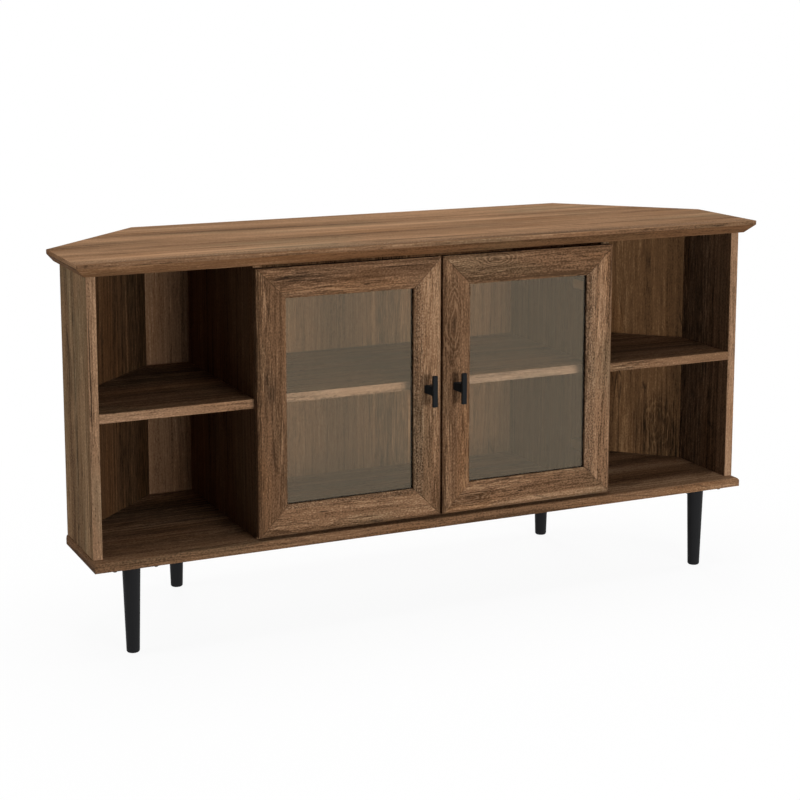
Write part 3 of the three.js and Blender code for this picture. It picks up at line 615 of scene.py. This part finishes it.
def make_heads():
    """Geometry nodes: a low domed head, with or without a cross recess, on every given point."""
    sides = 20
    same_point = 0.00001
    overcut = 1.1
    # The dome's tiers: a share of its radius at a share of its height.
    tiers = [(1.0, 0.0), (1.0, 0.3), (0.88, 0.66), (0.62, 0.9), (0.34, 1.0)]
    tree = bpy.data.node_groups.new("screw heads", "GeometryNodeTree")
    tree.interface.new_socket("Geometry", in_out="INPUT", socket_type="NodeSocketGeometry")
    for label, kind, value in (("Radius", "Float", 0.004), ("Height", "Float", 0.003),
                               ("Recess", "Float", 0.0011), ("Turn", "Vector", (0, 0, 0)),
                               ("Crossed", "Bool", True), ("Finish", "Material", None)):
        socket = tree.interface.new_socket(label, in_out="INPUT", socket_type="NodeSocket" + kind)
        if value is not None:
            socket.default_value = value
    tree.interface.new_socket("Geometry", in_out="OUTPUT", socket_type="NodeSocketGeometry")
    given = tree.nodes.new("NodeGroupInput").outputs
    result = tree.nodes.new("NodeGroupOutput")
    radius, height = given["Radius"], given["Height"]

    def share(size, part):
        return work(tree, "MULTIPLY", size, part)

    shells = tree.nodes.new("GeometryNodeJoinGeometry")
    for (low_part, low), (high_part, high) in zip(tiers, tiers[1:]):
        ring = add(tree, "GeometryNodeMeshCone", {"fill_type": "NONE"}, Vertices=sides,
                   Side_Segments=1, Radius_Bottom=share(radius, low_part),
                   Radius_Top=share(radius, high_part), Depth=share(height, high - low))
        raised = add(tree, "GeometryNodeTransform", Geometry=ring.outputs["Mesh"],
                     Translation=join_axes(tree, z=share(height, low)))
        tree.links.new(raised.outputs[0], shells.inputs[0])
    for (part, level), turned in ((tiers[0], (math.pi, 0, 0)), (tiers[-1], (0, 0, 0))):
        disc = add(tree, "GeometryNodeMeshCircle", {"fill_type": "NGON"}, Vertices=sides,
                   Radius=share(radius, part))
        raised = add(tree, "GeometryNodeTransform", Geometry=disc.outputs["Mesh"],
                     Translation=join_axes(tree, z=share(height, level)), Rotation=turned)
        tree.links.new(raised.outputs[0], shells.inputs[0])
    head = add(tree, "GeometryNodeMergeByDistance", Geometry=shells.outputs[0],
               Distance=same_point).outputs[0]

    crossed = add(tree, "GeometryNodeMeshBoolean", {"operation": "DIFFERENCE"})
    tree.links.new(head, crossed.inputs[0])
    reach, depth = share(radius, overcut), share(height, overcut)
    for size in (join_axes(tree, reach, given["Recess"], depth),
                 join_axes(tree, given["Recess"], reach, depth)):
        bar = add(tree, "GeometryNodeMeshCube", Size=size)
        bar = add(tree, "GeometryNodeTransform", Geometry=bar.outputs["Mesh"],
                  Translation=join_axes(tree, z=height))
        tree.links.new(bar.outputs[0], crossed.inputs[1])
    chosen = add(tree, "GeometryNodeSwitch", {"input_type": "GEOMETRY"}, Switch=given["Crossed"],
                 **{"False": head, "True": crossed.outputs[0]})

    points = add(tree, "GeometryNodeMeshToPoints", Mesh=given["Geometry"])
    set_on = add(tree, "GeometryNodeInstanceOnPoints", Points=points.outputs[0],
                 Instance=chosen.outputs[0], Rotation=given["Turn"])
    real = add(tree, "GeometryNodeRealizeInstances", Geometry=set_on.outputs[0])
    finished = add(tree, "GeometryNodeSetMaterial", Geometry=real.outputs[0],
                   Material=given["Finish"])
    tree.links.new(finished.outputs[0], result.inputs[0])
    return tree


heads = make_heads()


def set_heads(name, points, turn, body, slot, material, **sizes):
    """One piece of heads set on the points, made a plain mesh, riding on a body."""
    seed = bpy.data.objects.new(name + "_points", bpy.data.meshes.new(name + "_points"))
    seed.data.from_pydata(points, [], [])
    bpy.context.scene.collection.objects.link(seed)
    modifier = seed.modifiers.new("heads", "NODES")
    modifier.node_group = heads
    values = {"Turn": turn, "Finish": material, **sizes}
    for item in heads.interface.items_tree:
        if item.in_out == "INPUT" and item.name in values:
            modifier[item.identifier] = values[item.name]
    graph = bpy.context.evaluated_depsgraph_get()
    mesh = bpy.data.meshes.new_from_object(seed.evaluated_get(graph))
    bpy.data.objects.remove(seed)
    piece = bpy.data.objects.new(name, mesh)
    bpy.context.scene.collection.objects.link(piece)
    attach(piece, body)


facing_down = (math.pi, 0, 0)
screw_aside, screw_ahead = 0.033, 0.024
screw_points = []
for side in ("left", "right"):
    for end in ("front", "back"):
        low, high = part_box(f"{side}_{end}_leg_plate")
        middle = (low + high) / 2
        screw_points += [(middle.x + x, middle.y + y, low.z)
                         for x in (-screw_aside, screw_aside) for y in (-screw_ahead, screw_ahead)]
set_heads("leg_plate_screws", screw_points, facing_down, "cabinet", "black_metal", plate_coat,
          Radius=0.0039, Height=0.0032, Recess=0.0011)


# ---------------------------------------------------------------------------------------------
# The door frames: two stiles and two rails each, mitred at the corners, with a bevel round the
# outside, a moulded lip round the glass and a rebate behind it, wrapped in the same print. The
# upper faces of the top rails are near black: painted shade, so that the gap under the top reads
# dark.

frame_arris = 0.0005
frame_print = {
    "left_door_hinge_stile": dict(grain="Z", Pale=rgb(144, 112, 84), Middle=rgb(107, 79, 57),
                                  Patch=(0.408, -0.3, -0.17), Patch_size=(0.055, 0.014, 0.1)),
    "left_door_meeting_stile": dict(grain="Z", Rugged=0.7, Weathered=0.3, Saw_line=-0.044,
                                    Saw_width=0.011),
    "left_door_top_rail": dict(grain="X upright", Pale=rgb(142, 110, 83), Middle=rgb(104, 77, 56),
                               Crack=(-0.07, 0.5897, -0.17), Crack_length=0.055,
                               Patch=(-0.252, 0.586, -0.17), Patch_size=(0.045, 0.009, 0.1),
                               Knot=(-0.1357, 0.5647, -0.17), Knot_size=0.007),
    "left_door_bottom_rail": dict(grain="X upright", Saw_line=0.214, Saw_width=0.007,
                                  Patch=(-0.118, 0.17, -0.17), Patch_size=(0.012, 0.005, 0.1),
                                  Crack=(-0.2135, 0.1995, -0.17), Crack_length=0.014),
    "right_door_hinge_stile": dict(grain="Z", Rugged=0.7, Weathered=0.3, Pale=rgb(168, 135, 105),
                                   Middle=rgb(130, 99, 74), Saw_line=0.28, Saw_width=0.013),
    "right_door_meeting_stile": dict(grain="Z", Pale=rgb(146, 114, 86), Middle=rgb(108, 80, 58),
                                     Knot=(0.489, 0.0215, -0.17), Knot_size=0.021),
    "right_door_top_rail": dict(grain="X upright", Knot=(0.097, 0.59, -0.17), Knot_size=0.013,
                                Crack=(0.1664, 0.578, -0.17), Crack_length=0.008),
    "right_door_bottom_rail": dict(grain="X upright", Rugged=0.8, Knot=(0.0477, 0.1895, -0.17),
                                   Knot_size=0.014, Crack=(0.147, 0.1915, -0.17),
                                   Crack_length=0.008),
}
# Painted shade for the gap above the doors, on the top rails' upper faces.
painted_gap_shade = oak("painted shade on the doors' upper edges", "X", cut=46, Rugged=0.2, Weathered=0.2,
                Pale=rgb(64, 47, 34), Middle=rgb(45, 32, 23), Dark=rgb(28, 20, 14))


def squarely_up(face):
    return face.normal.z > 0.95


for name, wishes in frame_print.items():
    member = eased(name, frame_arris,
                   oak("oak on the " + name.replace("_", " "), **{"Rugged": 1.0, **wishes}))
    # The top rails' upper faces take the painted shade.
    if name.endswith("_top_rail"):
        finish_faces(member, painted_gap_shade, squarely_up)


# ---------------------------------------------------------------------------------------------
# The glass: one toughened pane 3 mm thick in each door, faintly grey-brown, held in the rebate
# by a black rubber strip pressed in behind it.

def make_glass():
    """Grey-brown glass with faint smears. The lamps' light passes it as through a plain tint."""
    material = bpy.data.materials.new("grey-brown glass")
    material.use_nodes = True
    tree = material.node_tree
    shader = tree.nodes["Principled BSDF"]
    shader.inputs["Base Color"].default_value = rgb(246, 240, 230)
    shader.inputs["Transmission Weight"].default_value = 1.0
    shader.inputs["IOR"].default_value = 1.6
    shader.inputs["Specular Tint"].default_value = rgb(255, 236, 205)
    place = tree.nodes.new("ShaderNodeTexCoord").outputs["Object"]
    smears = noise(tree, place, clouds=(9, 9, 4))
    feed(tree, shader.inputs["Roughness"], ramp(tree, smears, low=0.3, high=0.7, top=0.012))
    shade = add(tree, "ShaderNodeBsdfTransparent", Color=rgb(240, 234, 224))
    is_shadow = tree.nodes.new("ShaderNodeLightPath").outputs["Is Shadow Ray"]
    both = tree.nodes.new("ShaderNodeMixShader")
    for socket, value in zip(both.inputs, (is_shadow, shader.outputs[0], shade.outputs[0])):
        feed(tree, socket, value)
    tree.links.new(both.outputs[0], tree.nodes["Material Output"].inputs["Surface"])
    return material


glass = make_glass()
rubber = metal("black rubber", rgb(34, 32, 31), metallic=0.0, rough=0.65, gloss=0.2,
               grains=700.0, grain_depth=0.00006)

for side in ("left", "right"):
    refinished(f"{side}_door_glass", glass)
    refinished(f"{side}_door_glass_retainer", rubber)


# ---------------------------------------------------------------------------------------------
# The door pulls: a short black bar on a stub with a stepped foot, cast in zinc and powder
# coated. One screw through the stile holds each.

pull_arris = 0.0004
pull_coat = metal("black powder coat", rgb(27, 28, 29), metallic=0.0, rough=0.55, gloss=0.06,
                  grains=1100.0, grain_depth=0.00005)

facing_back = (-math.pi / 2, 0, 0)
for side in ("left", "right"):
    eased(f"{side}_door_pull", pull_arris, pull_coat)
    low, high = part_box(f"{side}_door_pull")
    middle = (low + high) / 2
    door_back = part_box(f"{side}_door_meeting_stile")[1].y
    set_heads(f"{side}_pull_screw", [(middle.x, door_back, middle.z)], facing_back,
              f"{side}_door", "nickel_steel", nickel, Radius=0.0045, Height=0.0022, Recess=0.0012)


# ---------------------------------------------------------------------------------------------
# The concealed hinges: a pressed cup in the door, a lever, an arm and a screwed plate on the
# divider, all nickel-plated steel. Two screws hold each cup's flange and two each plate.

for side in ("left", "right"):
    for level in ("lower", "upper"):
        for part in ("cup", "lever", "arm", "plate"):
            refinished(f"{side}_{level}_hinge_{part}", nickel)

divider_outside = 0.323
cup_screw_inset, cup_screw_rise, flange_top = 0.031, 0.024, -0.1548
plate_screw_y, plate_screw_rise, plate_face = -0.117, 0.016, 0.306
hinge_screw = dict(Radius=0.0034, Height=0.0016, Recess=0.001)
for side, way in (("left", -1), ("right", 1)):
    cup_points, plate_points = [], []
    for level in ("lower", "upper"):
        low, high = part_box(f"{side}_{level}_hinge_plate")
        height = (low.z + high.z) / 2
        for up in (-1, 1):
            cup_points.append((way * (divider_outside - cup_screw_inset), flange_top,
                               height + up * cup_screw_rise))
            plate_points.append((way * plate_face, plate_screw_y,
                                 height + up * plate_screw_rise))
    set_heads(f"{side}_hinge_cup_screws", cup_points, facing_back, f"{side}_door",
              "nickel_steel", nickel, **hinge_screw)
    set_heads(f"{side}_hinge_plate_screws", plate_points, (0, -way * math.pi / 2, 0), "cabinet",
              "nickel_steel", nickel, **hinge_screw)


# ---------------------------------------------------------------------------------------------
# The bumpers: two small domes of black rubber stuck on the front edge of each divider, so that
# the door closes softly.

facing_forward = (math.pi / 2, 0, 0)
divider_middle, divider_front = 0.3155, -0.154
bumper_heights = (0.19, 0.577)
for side, way in (("left", -1), ("right", 1)):
    set_heads(f"{side}_door_bumpers",
              [(way * divider_middle, divider_front, height) for height in bumper_heights],
              facing_forward, "cabinet", "retainer_rubber", rubber,
              Radius=0.004, Height=0.0017, Crossed=False)


# ---------------------------------------------------------------------------------------------
# The studio: a pale floor that runs out of sight, a white surround, and soft lamps: one in front,
# one over the top, one at each side and one behind. The glass doesn't mirror the lamps.

white = (1.0, 1.0, 1.0, 1.0)


def seen_directly(tree):
    """1 where the eye sees a thing, also in a mirror or through a pane, and 0 for other light."""
    path = tree.nodes.new("ShaderNodeLightPath").outputs
    seen = work(tree, "ADD", path["Is Camera Ray"], path["Is Glossy Ray"])
    return work(tree, "ADD", seen, path["Is Transmission Ray"], clamp=True)


def make_floor_finish():
    """Paint that bounces little light but looks white, and keeps the cabinet's soft shadow."""
    bounced, looked_at = 0.28, 0.9
    near, far, least_glow = 0.25, 1.1, 0.93
    longer_sideways = (0.62, 1.0, 1.0)
    material = bpy.data.materials.new("pale floor")
    material.use_nodes = True
    tree = material.node_tree
    tree.nodes.clear()
    seen = seen_directly(tree)
    paint = add(tree, "ShaderNodeBsdfDiffuse",
                Color=ramp(tree, seen, low=0.0, high=1.0, bottom=bounced, top=looked_at))
    glow = add(tree, "ShaderNodeEmission", Color=white, Strength=1.0)
    place = tree.nodes.new("ShaderNodeTexCoord").outputs["Object"]
    away = place_work(tree, "LENGTH", place_work(tree, "MULTIPLY", place, longer_sideways))
    share = work(tree, "MULTIPLY", seen, ramp(tree, away, low=near, high=far, bottom=least_glow))
    both = tree.nodes.new("ShaderNodeMixShader")
    for socket, value in zip(both.inputs, (share, paint.outputs[0], glow.outputs[0])):
        feed(tree, socket, value)
    add(tree, "ShaderNodeOutputMaterial", Surface=both.outputs[0])
    return material


floor_half = 30.0
floor_mesh = bpy.data.meshes.new("studio floor")
floor_mesh.from_pydata([(-floor_half, -floor_half, 0), (floor_half, -floor_half, 0),
                        (floor_half, floor_half, 0), (-floor_half, floor_half, 0)],
                       [], [(0, 1, 2, 3)])
floor_mesh.materials.append(make_floor_finish())
floor = bpy.data.objects.new("studio_floor", floor_mesh)
bpy.context.scene.collection.objects.link(floor)


def make_surround():
    """White to the eye, and nearly dark for the light that it gives."""
    faint, full = 0.03, 1.0
    world = bpy.data.worlds.new("white surround")
    world.use_nodes = True
    tree = world.node_tree
    tree.nodes.clear()
    strength = ramp(tree, seen_directly(tree), low=0.0, high=1.0, bottom=faint, top=full)
    shell = add(tree, "ShaderNodeBackground", Color=white, Strength=strength)
    add(tree, "ShaderNodeOutputWorld", Surface=shell.outputs[0])
    return world


bpy.context.scene.world = make_surround()


def lamp(name, place, target, width, height, level):
    """A soft lamp that lights a surface facing it at the target by the level, 1 being full."""
    beam = Vector(target) - Vector(place)
    light = bpy.data.lights.new(name, "AREA")
    light.shape = "RECTANGLE"
    light.size = width
    light.size_y = height
    light.energy = level * math.pi ** 2 * beam.length_squared
    holder = bpy.data.objects.new(name, light)
    holder.location = place
    holder.rotation_euler = beam.to_track_quat("-Z", "Y").to_euler()
    holder.visible_camera = False
    holder.visible_glossy = False
    holder.visible_transmission = False
    bpy.context.scene.collection.objects.link(holder)


lamp("front lamp", (0.4, -3.2, 0.68), (0.1, -0.1, 0.4), width=1.6, height=0.8, level=1.0)
lamp("top lamp", (0.0, 0.1, 3.0), (0, 0, 0.6), width=1.8, height=1.8, level=1.06)
lamp("left lamp", (-3.4, 0.5, 1.0), (-0.6, 0, 0.35), width=1.4, height=1.4, level=0.5)
lamp("right lamp", (3.4, 0.5, 1.0), (0.6, 0, 0.35), width=1.4, height=1.4, level=0.35)
lamp("back lamp", (0.6, 3.6, 1.8), (0, 0.2, 0.35), width=1.6, height=1.6, level=0.5)


# ---------------------------------------------------------------------------------------------
# The camera stands left of the middle, at the photograph's viewing angle, and looks to the right
# and a little down. Its small shift straightens part of the lean of the upright edges.

looks_right, looks_down = math.radians(24.9038), math.radians(9.2521)
camera_data = bpy.data.cameras.new("camera")
camera_data.sensor_width = 36.0
camera_data.lens = 82.612
camera_data.shift_y = -0.15
camera = bpy.data.objects.new("camera", camera_data)
camera.location = (-1.3057, -2.8163, 1.0423)
camera.rotation_euler = (math.pi / 2 - looks_down, 0, -looks_right)
bpy.context.scene.collection.objects.link(camera)
bpy.context.scene.camera = camera
bpy.context.scene.view_settings.view_transform = "Standard"
